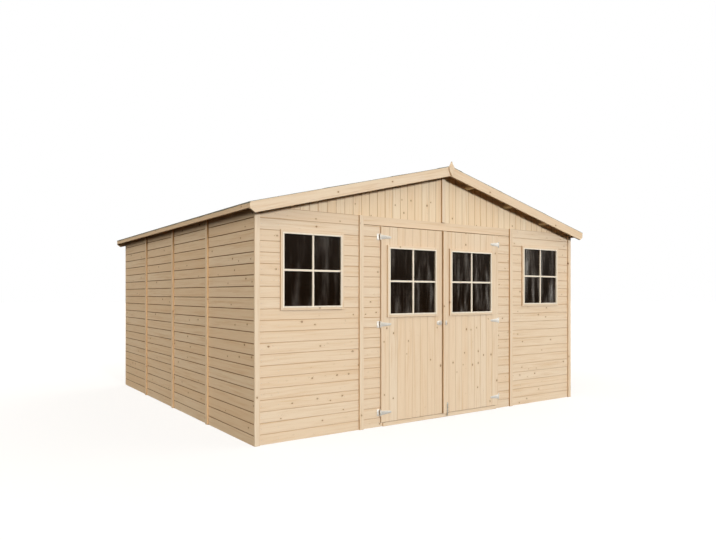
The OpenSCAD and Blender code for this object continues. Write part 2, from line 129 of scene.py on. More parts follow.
def placed(name: str, data: ID) -> Object:
    """Return a new object of the scene that holds a mesh, a camera or a lamp."""
    thing = bpy.data.objects.new(name, data)
    bpy.context.scene.collection.objects.link(thing)
    return thing


def dress(node: str, finish: Material) -> None:
    """Give a frame node that stays as it is its finish."""
    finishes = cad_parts[node].data.materials
    finishes.clear()
    finishes.append(finish)


def mesh_of(name: str, body: BMesh) -> Mesh:
    """Return a new mesh of a closed form, with its faces turned outwards."""
    bmesh.ops.recalc_face_normals(body, faces=body.faces)
    mesh = bpy.data.meshes.new(name)
    body.to_mesh(mesh)
    body.free()
    return mesh


def skin(body: BMesh, rings: Sequence[Sequence[BMVert]]) -> None:
    """Join each ring of points to the next one by a strip of faces.

    Args:
        body: The mesh that holds the points.
        rings: Rings of as many points each.
    """
    for a, b in zip(rings, rings[1:]):
        for i in range(len(a)):
            j = (i + 1) % len(a)
            body.faces.new((a[i], a[j], b[j], b[i]))


def merged_copy(node: str) -> Mesh:
    """Copy a frame node's mesh, with its loose triangles joined into whole faces.

    Args:
        node: Name of the node.

    Returns:
        A closed mesh in the frame's own place.
    """
    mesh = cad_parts[node].data.copy()
    mesh.materials.clear()
    for name in [layer.name for layer in mesh.uv_layers]:
        mesh.uv_layers.remove(mesh.uv_layers[name])
    body = bmesh.new()
    body.from_mesh(mesh)
    bmesh.ops.remove_doubles(body, verts=body.verts, dist=1e-5)
    bmesh.ops.dissolve_limit(body, angle_limit=math.radians(0.4), verts=body.verts, edges=body.edges)
    body.to_mesh(mesh)
    body.free()
    return mesh


def evaluated(name: str, mesh: Mesh, kind: str, settings: dict[str, Any],
              inputs: dict[str, Any] | None = None) -> Object:
    """Run one modifier on a mesh and keep the plain result.

    Args:
        name: Name of the piece.
        mesh: The mesh to start from.
        kind: Blender's name of the modifier type.
        settings: Properties of the modifier.
        inputs: Values of a node tree's inputs, by name.

    Returns:
        An object at the origin with the result as its mesh and no modifier.
    """
    piece = placed(name, mesh)
    modifier = piece.modifiers.new(kind.lower(), kind)
    for key, value in settings.items():
        setattr(modifier, key, value)
    if inputs:
        for item in modifier.node_group.interface.items_tree:
            if item.item_type == "SOCKET" and item.in_out == "INPUT" and item.name in inputs:
                modifier[item.identifier] = inputs[item.name]
    depsgraph = bpy.context.evaluated_depsgraph_get()
    result = bpy.data.meshes.new_from_object(piece.evaluated_get(depsgraph), preserve_all_data_layers=True,
                                             depsgraph=depsgraph)
    piece.modifiers.clear()
    piece.data = result
    result.name = name
    bpy.data.meshes.remove(mesh)
    return piece


def eased(name: str, mesh: Mesh, width: float, limit: float) -> Object:
    """Round off the edges of a mesh.

    Args:
        name: Name of the piece.
        mesh: The mesh to start from.
        width: Width of the rounded edge.
        limit: Least angle of such an edge, in degrees.

    Returns:
        An object at the origin with the result as its mesh.
    """
    return evaluated(name, mesh, "BEVEL", {"width": width, "segments": 2, "limit_method": "ANGLE",
                                           "angle_limit": math.radians(limit)})


def settle(piece: Object, body: str, replaced: Sequence[str] = ()) -> None:
    """Hand a finished piece over to the frame and log it.

    Args:
        piece: The finished object.
        body: The frame body that it moves with.
        replaced: Frame nodes that it stands for.
    """
    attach(piece, body)
    if replaced:
        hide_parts(*replaced)
    LOG.info("%s: %d faces on %s", piece.name, len(piece.data.polygons), body)


def islands(body: BMesh) -> list[list[BMVert]]:
    """Split a mesh into its separate pieces.

    Args:
        body: The mesh.

    Returns:
        The vertices of each piece.
    """
    found, seen = [], set()
    for start in body.verts:
        if start in seen:
            continue
        seen.add(start)
        group, edge_of_search = [], [start]
        while edge_of_search:
            vert = edge_of_search.pop()
            group.append(vert)
            for edge in vert.link_edges:
                other = edge.other_vert(vert)
                if other not in seen:
                    seen.add(other)
                    edge_of_search.append(other)
        found.append(group)
    return found


def box_mesh(body: BMesh, low: Sequence[float], high: Sequence[float]) -> None:
    """Add a closed block to a mesh.

    Args:
        body: The mesh that gets the block.
        low: Its lowest corner.
        high: Its highest corner.
    """
    size = [b - a for a, b in zip(low, high)]
    middle = [(a + b) / 2 for a, b in zip(low, high)]
    bmesh.ops.create_cube(body, size=1, matrix=Matrix.Translation(middle) @ Matrix.Diagonal((*size, 1)))


def spaced(start: float, end: float, step: float) -> list[float]:
    """Return even places from start to end, about a step apart."""
    count = round((end - start) / step)
    return [start + (end - start) * i / count for i in range(count + 1)]


def lot_of(name: str) -> float:
    """Return a number that tells the timbers of one piece from those of the others."""
    return float(sum(ord(letter) * (place + 1) for place, letter in enumerate(name)) % 900)


def write_grain(mesh: Mesh) -> None:
    """Give every separate timber of a mesh a grain that follows its longest edge.

    The grain attribute holds metres along the timber, boards across it and metres through it, as the finishes read.
    Faces on a timber's narrow sides get the mesh's second finish, if it has one.

    Args:
        mesh: The mesh that gets the grain and panel attributes.
    """
    lot = lot_of(mesh.name)
    body = bmesh.new()
    body.from_mesh(mesh)
    grain = [Vector()] * len(body.verts)
    panel = [0.0] * len(body.verts)
    body.verts.index_update()
    body.faces.index_update()
    for number, group in enumerate(islands(body)):
        # Kept in order, so that each run takes the same one of several that are alike.
        edges = dict.fromkeys(edge for vert in group for edge in vert.link_edges)
        faces = dict.fromkeys(face for vert in group for face in vert.link_faces)
        longest = max(edges, key=lambda e: round(e.calc_length(), 4))
        along = (longest.verts[1].co - longest.verts[0].co).normalized()
        if along.dot(X + Y + Z) < 0:
            along.negate()
        broad = max(faces, key=lambda f: round(f.calc_area(), 6) * (abs(f.normal.dot(along)) < 0.2))
        through = (broad.normal - along * broad.normal.dot(along)).normalized()
        across = through.cross(along)
        middle = sum((v.co for v in group), Vector()) / len(group)
        for vert in group:
            place = vert.co - middle
            grain[vert.index] = Vector((vert.co.dot(along), 0.5 + place.dot(across) / BOARD, place.dot(through)))
            panel[vert.index] = lot + number
        # In this scene the second finish is the darker sawn edge, which partly paints shade on the narrow sides.
        if len(mesh.materials) > 1:
            for face in faces:
                mesh.polygons[face.index].material_index = int(abs(face.normal.dot(across)) > 0.9)
    body.free()
    attribute = mesh.attributes.new("grain", "FLOAT_VECTOR", "POINT")
    attribute.data.foreach_set("vector", [value for vector in grain for value in vector])
    mesh.attributes.new("panel", "FLOAT", "POINT").data.foreach_set("value", panel)


@dataclass(frozen=True)
class Pine:
    """Nordic pine, planed or sawn and left unpainted.

    Pale sapwood with soft brown late-wood lines along the board, small brown knots, boards of slightly different
    lots, and a matt surface. Where boards meet, the joint is a thin brown line.
    """

    name: str
    pale: str = "E3CEB2"
    late: str = "CFAE87"
    warm: str = "DCBB94"
    knot: str = "8A6540"
    joint: str = "96683A"
    joint_strength: float = 0.0
    knots: float = 0.17
    roughness: float = 0.62
    relief: float = 0.12

    def material(self) -> Material:
        """Build the finish on the grain attribute.

        Returns:
            The material.
        """
        finish = bpy.data.materials.new(self.name)
        tree = blank(finish)
        grain = add(tree, "ShaderNodeAttribute", {"attribute_name": "grain"}).outputs["Vector"]
        panel = add(tree, "ShaderNodeAttribute", {"attribute_name": "panel"}).outputs["Fac"]
        place = add(tree, "ShaderNodeSeparateXYZ", inputs={0: grain})
        row = add(tree, MATH, "FLOOR", {0: place.outputs["Y"]})
        key = add(tree, "ShaderNodeCombineXYZ", inputs={"X": row, "Y": panel, "Z": 0.5})
        lot = add(tree, "ShaderNodeTexWhiteNoise", {"noise_dimensions": "3D"}, {"Vector": key})
        shift = add(tree, VECTOR, "SCALE", {0: lot.outputs["Color"], "Scale": 30.0})
        # Late wood: lines about 20 mm apart that run on for half a metre.
        metres = add(tree, VECTOR, "MULTIPLY_ADD", {0: grain, 1: (1.0, BOARD, 1.0), 2: shift})
        rings = add(tree, VECTOR, "MULTIPLY", {0: metres, 1: (1.8, 50.0, 50.0)})
        ring = add(tree, NOISE, {"noise_dimensions": "3D"},
                   {"Vector": rings, "Scale": 1.0, "Detail": 3.0, "Roughness": 0.55, "Distortion": 0.5})
        # Fibres: real ones are under 1 mm, drawn 4 mm wide so that they show.
        fibres = add(tree, VECTOR, "MULTIPLY", {0: metres, 1: (6.0, 240.0, 240.0)})
        fibre = add(tree, NOISE, {"noise_dimensions": "3D"},
                    {"Vector": fibres, "Scale": 1.0, "Detail": 2.0, "Roughness": 0.6})
        late = add(tree, RANGE, SMOOTH,
                   {"Value": ring.outputs["Fac"], "From Min": 0.42, "From Max": 0.78, "To Max": 0.75})
        streak = add(tree, RANGE, inputs={"Value": fibre.outputs["Fac"], "From Min": 0.35, "From Max": 0.75,
                                          "To Min": -0.1, "To Max": 0.35})
        dark = add(tree, MATH, {"operation": "ADD", "use_clamp": True}, {0: late, 1: streak})
        wood = add(tree, MIX, RGBA, {0: dark, 6: linear(self.pale), 7: linear(self.late)})
        warmth = add(tree, MATH, "MULTIPLY", {0: lot.outputs["Value"], 1: 0.45})
        board = add(tree, MIX, RGBA, {0: warmth, 6: wood.outputs[2], 7: linear(self.warm)})
        # Knots: 12 to 20 mm across, in a share of the cells of a board's width by 120 mm, off the joints.
        cells = add(tree, VECTOR, "MULTIPLY_ADD", {0: grain, 1: (8.3, 1.0, 0.0), 2: (0.0, -0.2, 0.0)})
        lots = add(tree, VECTOR, "MULTIPLY_ADD", {0: shift, 1: (1.0, 0.0, 0.0), 2: cells})
        cell = add(tree, "ShaderNodeTexVoronoi", {"voronoi_dimensions": "2D"},
                   {"Vector": lots, "Scale": 1.0, "Randomness": 0.6})
        pick = add(tree, "ShaderNodeSeparateColor", inputs={0: cell.outputs["Color"]})
        chosen = add(tree, MATH, "LESS_THAN", {0: pick, 1: self.knots})
        reach = add(tree, RANGE, inputs={"Value": pick.outputs[1], "To Min": 0.055, "To Max": 0.11})
        near = add(tree, MATH, "DIVIDE", {0: cell.outputs["Distance"], 1: reach})
        spot = add(tree, RANGE, SMOOTH,
                   {"Value": near, "From Min": 0.55, "From Max": 1.15, "To Min": 0.95, "To Max": 0.0})
        halo = add(tree, RANGE, SMOOTH,
                   {"Value": near, "From Min": 0.8, "From Max": 3.2, "To Min": 0.3, "To Max": 0.0})
        knot = add(tree, MATH, "MULTIPLY", {0: spot, 1: chosen})
        stain = add(tree, MATH, "MULTIPLY", {0: halo, 1: chosen})
        stained = add(tree, MIX, RGBA, {0: stain, 6: board.outputs[2], 7: linear(self.late)})
        colour = add(tree, MIX, RGBA, {0: knot, 6: stained.outputs[2], 7: linear(self.knot)})
        if self.joint_strength:
            part = add(tree, MATH, "FRACT", {0: place.outputs["Y"]})
            side = add(tree, MATH, "SUBTRACT", {0: part, 1: 0.5})
            away = add(tree, MATH, "ABSOLUTE", {0: side})
            line = add(tree, RANGE, SMOOTH,
                       {"Value": away, "From Min": 0.445, "From Max": 0.47, "To Max": self.joint_strength})
            colour = add(tree, MIX, RGBA, {0: line, 6: colour.outputs[2], 7: linear(self.joint)})
        matt = add(tree, RANGE, inputs={"Value": fibre.outputs["Fac"], "To Min": self.roughness - 0.1,
                                        "To Max": self.roughness + 0.12})
        bump = add(tree, "ShaderNodeBump",
                   inputs={"Strength": self.relief, "Distance": 0.002, "Height": fibre.outputs["Fac"]})
        coat(tree, {
            "Base Color": colour.outputs[2], "Roughness": matt, "IOR": 1.5, "Specular IOR Level": 0.35,
            "Normal": bump})
        return finish


@dataclass(frozen=True)
class MineralFelt:
    """Bitumen roofing felt, faced with crushed green-grey slate.

    The slate makes a dull, speckled surface, with paler and darker drifts where the grit lies thick or thin.
    """

    name: str = "slate_faced_roofing_felt"
    grit: str = "74776C"
    bare: str = "3C3D38"
    fleck: str = "9B9C90"

    def material(self) -> Material:
        """Build the finish on Object coordinates.

        Returns:
            The material.
        """
        finish = bpy.data.materials.new(self.name)
        tree = blank(finish)
        place = add(tree, "ShaderNodeTexCoord").outputs["Object"]
        # Grit: real grains are about 1 mm, drawn 4 mm so that they show.
        grains = add(tree, "ShaderNodeTexVoronoi", inputs={"Vector": place, "Scale": 250.0})
        tone = add(tree, "ShaderNodeSeparateColor", inputs={0: grains.outputs["Color"]})
        drift = add(tree, NOISE, inputs={"Vector": place, "Scale": 3.0, "Detail": 5.0})
        thin = add(tree, RANGE,
                   inputs={"Value": drift.outputs["Fac"], "From Min": 0.35, "From Max": 0.75, "To Max": 0.3})
        flecks = add(tree, MIX, RGBA, {0: tone, 6: linear(self.grit), 7: linear(self.fleck)})
        colour = add(tree, MIX, RGBA, {0: thin, 6: flecks.outputs[2], 7: linear(self.bare)})
        bump = add(tree, "ShaderNodeBump", inputs={"Strength": 0.5, "Distance": 0.001, "Height": tone.outputs[1]})
        coat(tree, {
            "Base Color": colour.outputs[2], "Roughness": 0.92, "IOR": 1.5, "Specular IOR Level": 0.25,
            "Normal": bump})
        return finish


@dataclass(frozen=True)
class ZincSteel:
    """Pressed steel with a bright zinc plating.

    The plating gives a pale, slightly cloudy metal with soft highlights and a faint grain of spangles.
    """

    name: str
    bright: str = "E8E2D8"
    cloud: str = "C4BEB2"
    roughness: float = 0.5

    def material(self) -> Material:
        """Build the finish on Object coordinates.

        Returns:
            The material.
        """
        finish = bpy.data.materials.new(self.name)
        tree = blank(finish)
        place = add(tree, "ShaderNodeTexCoord").outputs["Object"]
        spangle = add(tree, "ShaderNodeTexVoronoi", inputs={"Vector": place, "Scale": 160.0})
        tone = add(tree, "ShaderNodeSeparateColor", inputs={0: spangle.outputs["Color"]})
        cloud = add(tree, NOISE, inputs={"Vector": place, "Scale": 35.0, "Detail": 3.0})
        mixed = add(tree, MATH, "MULTIPLY", {0: tone, 1: cloud.outputs["Fac"]})
        colour = add(tree, MIX, RGBA, {0: mixed, 6: linear(self.bright), 7: linear(self.cloud)})
        rough = add(tree, RANGE, inputs={"Value": cloud.outputs["Fac"], "To Min": self.roughness - 0.1,
                                         "To Max": self.roughness + 0.16})
        coat(tree, {
            "Base Color": colour.outputs[2], "Metallic": 0.5, "Roughness": rough})
        return finish


@dataclass(frozen=True)
class FloatGlass:
    """Clear float glass with a thin film of dust and rain streaks.

    From outside it is nearly black: partly the dark room behind it, partly painted shade from its dark brown tint.
    The streaks dull it in upright bands; they are partly dust and partly painted reflection.
    """

    name: str = "float_glass"
    # Dark brown tint: painted shade that stands for the dark room behind the glass.
    clear: str = "4A3420"
    dust_and_reflection: str = "A6A19A"

    def material(self) -> Material:
        """Build the finish on Object coordinates.

        Returns:
            The material.
        """
        finish = bpy.data.materials.new(self.name)
        tree = blank(finish)
        place = add(tree, "ShaderNodeTexCoord").outputs["Object"]
        # Streaks, partly dust and partly painted reflection: upright bands about 70 mm wide, broken every 400 mm,
        # thicker towards the right.
        tall = add(tree, VECTOR, "MULTIPLY", {0: place, 1: (14.0, 14.0, 2.4)})
        bands = add(tree, NOISE, inputs={"Vector": tall, "Scale": 1.0, "Detail": 5.0, "Roughness": 0.62})
        across = add(tree, "ShaderNodeSeparateXYZ", inputs={0: place})
        thick = add(tree, RANGE, inputs={"Value": across.outputs["X"], "From Min": -1.8, "From Max": 1.2,
                                         "To Min": 0.4, "To Max": 1.0})
        dust_and_reflection = add(tree, RANGE, SMOOTH,
                   {"Value": bands.outputs["Fac"], "From Min": 0.42, "From Max": 0.74, "To Max": thick})
        colour = add(tree, MIX, RGBA, {0: dust_and_reflection, 6: linear(self.clear), 7: linear(self.dust_and_reflection)})
        rough = add(tree, RANGE, inputs={"Value": bands.outputs["Fac"], "To Min": 0.02, "To Max": 0.09})
        clear = add(tree, RANGE, inputs={"Value": dust_and_reflection, "To Min": 0.9, "To Max": 0.5})
        coat(tree, {
            "Base Color": colour.outputs[2], "Roughness": rough, "IOR": 1.5,
            "Transmission Weight": clear})
        return finish


class Run(Enum):
    """How boards lie in a slab: the axis they run along, the one they are stacked along, and the one through."""

    LEVEL_FRONT = (X, Z, Y)
    LEVEL_SIDE = (Y, Z, X)
    UPRIGHT = (Z, X, Y)
    FLOOR = (Y, X, Z)
    LEFT_SLOPE = (Vector((math.cos(ROOF_PITCH), 0, math.sin(ROOF_PITCH))), Y,
                  Vector((-math.sin(ROOF_PITCH), 0, math.cos(ROOF_PITCH))))
    RIGHT_SLOPE = (Vector((math.cos(ROOF_PITCH), 0, -math.sin(ROOF_PITCH))), Y,
                   Vector((math.sin(ROOF_PITCH), 0, math.cos(ROOF_PITCH))))

    def turn(self) -> tuple[float, float, float]:
        """Return the Euler angles that lay an upright bar along the boards."""
        along, across, through = self.value
        return tuple(Matrix((across, through, across.cross(through))).transposed().to_euler())


def open_tree(name: str, sockets: dict[str, str]) -> tuple[NodeTree, Any]:
    """Start a geometry node tree that takes a mesh and a finish.

    Args:
        name: Name of the tree.
        sockets: Names of its other inputs, with their kinds.

    Returns:
        The tree and the sockets that hold what it is given.
    """
    tree = bpy.data.node_groups.new(name, "GeometryNodeTree")
    for label, kind in {"Geometry": "Geometry", **sockets, "Finish": "Material"}.items():
        tree.interface.new_socket(label, in_out="INPUT", socket_type="NodeSocket" + kind)
    tree.interface.new_socket("Geometry", in_out="OUTPUT", socket_type="NodeSocketGeometry")
    return tree, add(tree, "NodeGroupInput").outputs


def close_tree(tree: NodeTree, result: Node, finish: NodeSocket) -> None:
    """End a geometry node tree in one real mesh with its finish.

    Args:
        tree: The tree.
        result: The node that makes its shape.
        finish: The socket that holds its finish.
    """
    real = add(tree, "GeometryNodeRealizeInstances", inputs={0: result})
    done = add(tree, "GeometryNodeSetMaterial", inputs={"Geometry": real, "Material": finish})
    add(tree, "NodeGroupOutput", inputs={0: done})


def boarding_tree() -> NodeTree:
    """Build the node tree that cuts V joints into both faces of a slab and writes its grain.

    Returns:
        The tree, with the joints' places and sizes as inputs.
    """
    tree, given = open_tree("boarding", {
        "Joints": "Int", "First": "Vector", "Step": "Vector", "Through": "Vector", "Turn": "Vector", "Length": "Float",
        "Groove": "Float", "Grain X": "Vector", "Grain Y": "Vector", "Grain Z": "Vector", "Start": "Float",
        "Lot": "Float"})
    line = add(tree, "GeometryNodeMeshLine", {"mode": "OFFSET"},
               {"Count": given["Joints"], "Start Location": given["First"], "Offset": given["Step"]})
    bar = add(tree, "GeometryNodeMeshCylinder",
              inputs={"Vertices": 4, "Radius": given["Groove"], "Depth": given["Length"]})
    turn = add(tree, "FunctionNodeEulerToRotation", inputs={0: given["Turn"]})
    front = add(tree, "GeometryNodeInstanceOnPoints", inputs={"Points": line, "Instance": bar, "Rotation": turn})
    back = add(tree, "GeometryNodeTransform", inputs={"Geometry": front, "Translation": given["Through"]})
    bars = add(tree, "GeometryNodeJoinGeometry", inputs={0: [front, back]})
    solid = add(tree, "GeometryNodeRealizeInstances", inputs={0: bars})
    cut = add(tree, "GeometryNodeMeshBoolean", {"operation": "DIFFERENCE", "solver": "EXACT"},
              {"Mesh 1": given["Geometry"], "Mesh 2": solid})
    place = add(tree, "GeometryNodeInputPosition").outputs[0]
    parts = [add(tree, VECTOR, "DOT_PRODUCT", {0: place, 1: given[name]})
             for name in ("Grain X", "Grain Y", "Grain Z")]
    rows = add(tree, MATH, "SUBTRACT", {0: parts[1].outputs["Value"], 1: given["Start"]})
    grain = add(tree, "ShaderNodeCombineXYZ",
                inputs={0: parts[0].outputs["Value"], 1: rows, 2: parts[2].outputs["Value"]})
    island = add(tree, "GeometryNodeInputMeshIsland")
    panel = add(tree, MATH, "ADD", {0: island.outputs["Island Index"], 1: given["Lot"]})
    grained = add(tree, "GeometryNodeStoreNamedAttribute", {"data_type": "FLOAT_VECTOR", "domain": "POINT"},
                  {"Geometry": cut.outputs["Mesh"], "Name": "grain", "Value": grain})
    marked = add(tree, "GeometryNodeStoreNamedAttribute", {"data_type": "FLOAT", "domain": "POINT"},
                 {"Geometry": grained, "Name": "panel", "Value": panel})
    close_tree(tree, marked, given["Finish"])
    return tree


@dataclass
class Boarding:
    """Boards of one slab of the frame, with V joints in both faces.

    Attributes:
        node: The slab's node.
        body: The body that it moves with.
        run: How the boards lie.
        first: Place of the first joint along the stack.
        pitch: Cover width of a board.
        joints: Number of joints.
        groove: Depth of a joint.
    """

    node: str
    body: str
    run: Run
    first: float = FIRST_JOINT
    pitch: float = BOARD
    joints: int = ROWS
    groove: float = 0.004

    def build(self, tree: NodeTree, finish: Material) -> None:
        """Cut the joints and dress the boards.

        Args:
            tree: The boarding tree.
            finish: The boards' finish.
        """
        along, across, through = self.run.value
        mesh = merged_copy(self.node)
        reach = [[vert.co.dot(axis) for vert in mesh.vertices] for axis in (along, through)]
        low, high = min(reach[1]), max(reach[1])
        middle = (min(reach[0]) + max(reach[0])) / 2
        piece = evaluated(f"{self.node}_boards", mesh, "NODES", {"node_group": tree}, {
            "Joints": self.joints, "First": along * middle + across * self.first + through * low,
            "Step": across * self.pitch, "Through": through * (high - low), "Turn": self.run.turn(),
            "Length": max(reach[0]) - min(reach[0]) + 0.2, "Groove": self.groove, "Grain X": along,
            "Grain Y": across / self.pitch, "Grain Z": through, "Start": self.first / self.pitch,
            "Lot": lot_of(self.node), "Finish": finish})
        settle(piece, self.body, [self.node])


@dataclass
class Timbers:
    """Single timbers of one node, with eased edges and a grain along each.

    Attributes:
        node: The timbers' node.
        body: The body that they move with.
        slot: Their material slot; not used.
        ease: Width of the eased edge.
    """

    node: str
    body: str
    slot: str = "pine_boards"
    ease: float = 0.002

    def build(self, *finishes: Material) -> None:
        """Ease the edges, lay the grain and dress the timbers.

        Args:
            finishes: The timbers' finish, and that of their narrow sides if it differs.
        """
        piece = eased(f"{self.node}_timber", merged_copy(self.node), self.ease, 20)
        for finish in finishes:
            piece.data.materials.append(finish)
        write_grain(piece.data)
        settle(piece, self.body, [self.node])


@dataclass
class Ironwork:
    """Plated steel pieces of one node, with softened edges.

    Attributes:
        node: The pieces' node.
        body: The body that they move with.
        ease: Width of the softened edge.
    """

    node: str
    body: str
    ease: float = 0.0006

    def build(self, finish: Material) -> None:
        """Soften the edges, smooth the rounds and dress the steel.

        Args:
            finish: The steel's finish.
        """
        piece = eased(f"{self.node}_steel", merged_copy(self.node), self.ease, 40)
        piece.data.polygons.foreach_set("use_smooth", [True] * len(piece.data.polygons))
        piece.data.set_sharp_from_angle(angle=math.radians(30))
        piece.data.materials.append(finish)
        settle(piece, self.body, [self.node])


@dataclass
class Window:
    """Glazing bars and an inner bead in front of one pane.

    Attributes:
        name: Name of the window.
        body: The body that it moves with.
        x: Middle of the window across the front.
        z: Middle of the window above the ground.
        glass_y: Front of the pane.
        width: Clear width inside the trim.
        height: Clear height inside the trim.
        bar: Width of a bar.
        bead: Width of the bead on the trim.
        lining: Thickness of the bead inside the opening.
        depth: How far the bars stand in front of the glass.
        trim: Thickness of the trim.
        ease: Width of the eased edges.
    """

    name: str
    body: str
    x: float
    z: float
    glass_y: float
    width: float = 0.553
    height: float = 0.597
    bar: float = 0.016
    bead: float = 0.010
    lining: float = 0.003
    depth: float = 0.010
    trim: float = 0.014
    ease: float = 0.0015

    def bead_ring(self, body: BMesh) -> None:
        """Sweep the angled bead, which laps over the trim and lines the opening, round the window.

        Args:
            body: The mesh that gets the bead.
        """
        face = self.glass_y - self.trim
        section = [(self.bead, face), (self.bead, face - 0.002), (0.0, face - 0.003), (-self.lining, face - 0.002),
                   (-self.lining, self.glass_y), (0.0, self.glass_y), (0.0, face)]
        corners = [(-1, -1), (1, -1), (1, 1), (-1, 1)]
        rings = [[body.verts.new((self.x + sx * (self.width / 2 + out), y, self.z + sz * (self.height / 2 + out)))
                  for out, y in section] for sx, sz in corners]
        skin(body, rings + rings[:1])

    def build(self, finish: Material) -> None:
        """Make the cross of bars and the bead round it, and dress them.

        Args:
            finish: Their finish.
        """
        body = bmesh.new()
        front, back = self.glass_y - self.depth, self.glass_y
        half = self.bar / 2
        inner_w, inner_h = self.width / 2 - self.lining, self.height / 2 - self.lining
        blocks = [(-half, half, -inner_h, inner_h), (-inner_w, -half, -half, half), (half, inner_w, -half, half)]
        for x0, x1, z0, z1 in blocks:
            box_mesh(body, (self.x + x0, front, self.z + z0), (self.x + x1, back, self.z + z1))
        self.bead_ring(body)
        piece = eased(f"{self.name}_bars", mesh_of(self.name, body), self.ease, 60)
        write_grain(piece.data)
        piece.data.materials.append(finish)
        settle(piece, self.body)


@dataclass
class FeltSheet:
    """Felt on one slope, in courses that lap, with a ragged edge over the eaves.

    Attributes:
        node: The slope's felt node.
        side: Minus one on the left, one on the right.
        laps: Distances from the ridge line at which a course ends over the next.
        run: Distance over which a course rises to its lap.
        lap_t: Height of the step at a lap.
        thick: Thickness of the sheet.
        lip: Thickness of the edge that turns down.
        drop: Mean length of the edge that turns down over the eaves board.
        spacing: Distance between points along the roof.
    """

    node: str
    side: int
    laps: tuple[float, ...] = (0.72, 1.42)
    run: float = 0.35
    lap_t: float = 0.0022
    thick: float = 0.003
    lip: float = 0.0018
    drop: float = 0.009
    spacing: float = 0.035

    def profile(self, y: float, low: Vector, high: Vector) -> list[Vector]:
        """Return the section of the sheet at one place along the roof.

        Args:
            y: Place along the roof.
            low: Lowest corner of the felt node.
            high: Highest corner of the felt node.

        Returns:
            Points round the section, from the ridge over the top to the eaves and back underneath.
        """
        edge = high.x if self.side > 0 else -low.x
        fall = math.tan(ROOF_PITCH)
        thick = self.thick / math.cos(ROOF_PITCH)
        stops = [0.0]
        for lap in self.laps:
            stops += [lap - self.run, lap, lap + 0.0015]
        stops += [edge - 0.03]
        top = []
        for x in stops:
            rise = self.lap_t if any(abs(x - lap) < 1e-6 for lap in self.laps) else 0.0
            wave = 0.0006 * noise.noise(Vector((x * 2, y * 3, 1.7))) if 0.2 < x < edge - 0.1 else 0.0
            top.append(Vector((x, y, high.z - fall * x + rise + max(wave, 0.0))))
        ragged = self.drop * (1 + 0.45 * noise.noise(Vector((3.1, y * 9, 0.4))))
        crown = high.z - fall * edge
        outer = [Vector((edge, y, crown)), Vector((edge, y, crown - ragged)),
                 Vector((edge - self.lip, y, crown - ragged)), Vector((edge - self.lip, y, crown - thick))]
        under = [Vector((0.0, y, high.z - thick))]
        return [Vector((p.x * self.side, p.y, p.z)) for p in top + outer + under]

    def nails(self) -> list[Spot]:
        """Return the nail places along the laps, the eaves and the verges of the slope."""
        low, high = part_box(self.node)
        edge = high.x if self.side > 0 else -low.x
        places = [(x, y) for x in (*[lap - 0.02 for lap in self.laps], edge - 0.045)
                  for y in spaced(low.y + 0.06, high.y - 0.06, 0.15)]
        places += [(x, y) for y in (low.y + 0.011, high.y - 0.011) for x in spaced(0.2, edge - 0.1, 0.12)]
        up = Vector((self.side * math.sin(ROOF_PITCH), 0, math.cos(ROOF_PITCH)))
        spots = []
        for x, y in places:
            rise = max([0.0] + [self.lap_t * (x - lap + self.run) / self.run for lap in self.laps
                                if lap - self.run < x <= lap])
            spots.append((Vector((self.side * x, y, high.z - math.tan(ROOF_PITCH) * x + rise)), up))
        return spots

    def build(self, finish: Material) -> None:
        """Sweep the section along the roof and dress the sheet.

        Args:
            finish: The felt's finish.
        """
        low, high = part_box(self.node)
        body = bmesh.new()
        rings = [[body.verts.new(point) for point in self.profile(y, low, high)]
                 for y in spaced(low.y, high.y, self.spacing)]
        skin(body, rings)
        body.faces.new(rings[0])
        body.faces.new(reversed(rings[-1]))
        name = f"{self.node}_courses"
        piece = placed(name, mesh_of(name, body))
        piece.data.materials.append(finish)
        settle(piece, "shed", [self.node])


class Head(Enum):
    """Heads of the fixings: radius, height, sides of the round and width of the drive slot."""

    CLADDING_NAIL = (0.0026, 0.0006, 8, 0.0)
    CLOUT_NAIL = (0.0045, 0.0012, 10, 0.0)
    SCREW = (0.0040, 0.0018, 14, 0.0012)
    SMALL_SCREW = (0.0030, 0.0014, 12, 0.0010)


